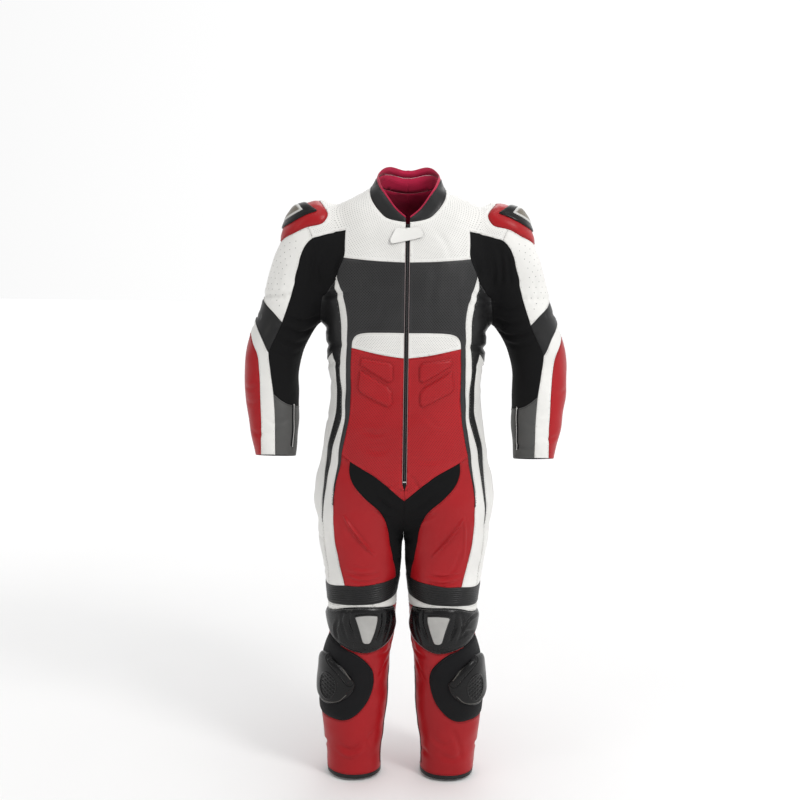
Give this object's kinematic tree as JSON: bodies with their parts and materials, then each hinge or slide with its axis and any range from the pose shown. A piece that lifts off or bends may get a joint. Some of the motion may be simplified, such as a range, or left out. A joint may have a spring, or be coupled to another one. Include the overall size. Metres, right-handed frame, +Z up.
{
  "type": "motorcycle race suit",
  "caption": "One-piece leather race suit in worn pose, hollow, with side stripes, shoulder plates, knee shields and shin slider pucks",
  "frame": {"origin": "the base of the neck, midway between the shoulders, where the wearer holds the suit up", "axes": "+Z up along the body, +X towards the wearer's left, the front faces -Y"},
  "size_m": [0.7252, 0.2672, 1.3973],
  "materials": {
    "white_leather": "matt, partly perforated",
    "black_leather": "satin, partly perforated",
    "red_leather": "satin, partly perforated",
    "black_stretch": "ribbed stretch weave",
    "crimson_lining": "soft mesh lining",
    "silver_shield": "satin silver-grey",
    "black_plastic": "satin moulded",
    "zip_black": "zip tape with closed teeth",
    "zip_metal": "brushed"
  },
  "bodies": {
    "root": {"yoke_left": "white_leather", "yoke_right": "white_leather", "chest_left": "black_leather", "chest_right": "black_leather", "belly_left": "white_leather", "belly_right": "white_leather", "abdomen_left": "red_leather", "abdomen_right": "red_leather", "stripe_left": "white_leather", "stripe_right": "white_leather", "side_left": "black_leather", "side_right": "black_leather", "flank_left": "white_leather", "flank_right": "white_leather", "groin_left": "black_stretch", "groin_right": "black_stretch", "thigh_left": "red_leather", "thigh_right": "red_leather", "seat_left": "black_leather", "seat_right": "black_leather", "knee_band_left": "black_leather", "knee_band_right": "black_leather", "knee_wave_left": "white_leather", "knee_wave_right": "white_leather", "knee_cup_left": "black_leather", "knee_cup_right": "black_leather", "slider_patch_left": "black_leather", "slider_patch_right": "black_leather", "shin_left": "red_leather", "shin_right": "red_leather", "hem_left": "black_leather", "hem_right": "black_leather", "sleeve_left": "white_leather", "sleeve_right": "white_leather", "stretch_left": "black_stretch", "stretch_right": "black_stretch", "elbow_left": "black_leather", "elbow_right": "black_leather", "forearm_white_left": "white_leather", "forearm_white_right": "white_leather", "forearm_red_left": "red_leather", "forearm_red_right": "red_leather", "cuff_left": "black_leather", "cuff_right": "black_leather", "pad_left": "red_leather", "pad_right": "red_leather", "plate_left": "black_plastic", "plate_right": "black_plastic", "knee_shield_left": "silver_shield", "knee_shield_right": "silver_shield", "slider_puck_left": "black_plastic", "slider_puck_right": "black_plastic", "collar": "black_leather", "collar_edge": "crimson_lining", "back_yoke": "white_leather", "back_middle": "red_leather", "zip": "zip_black", "zip_end": "zip_metal", "neck_tab": "white_leather"}
  },
  "joints": []
}
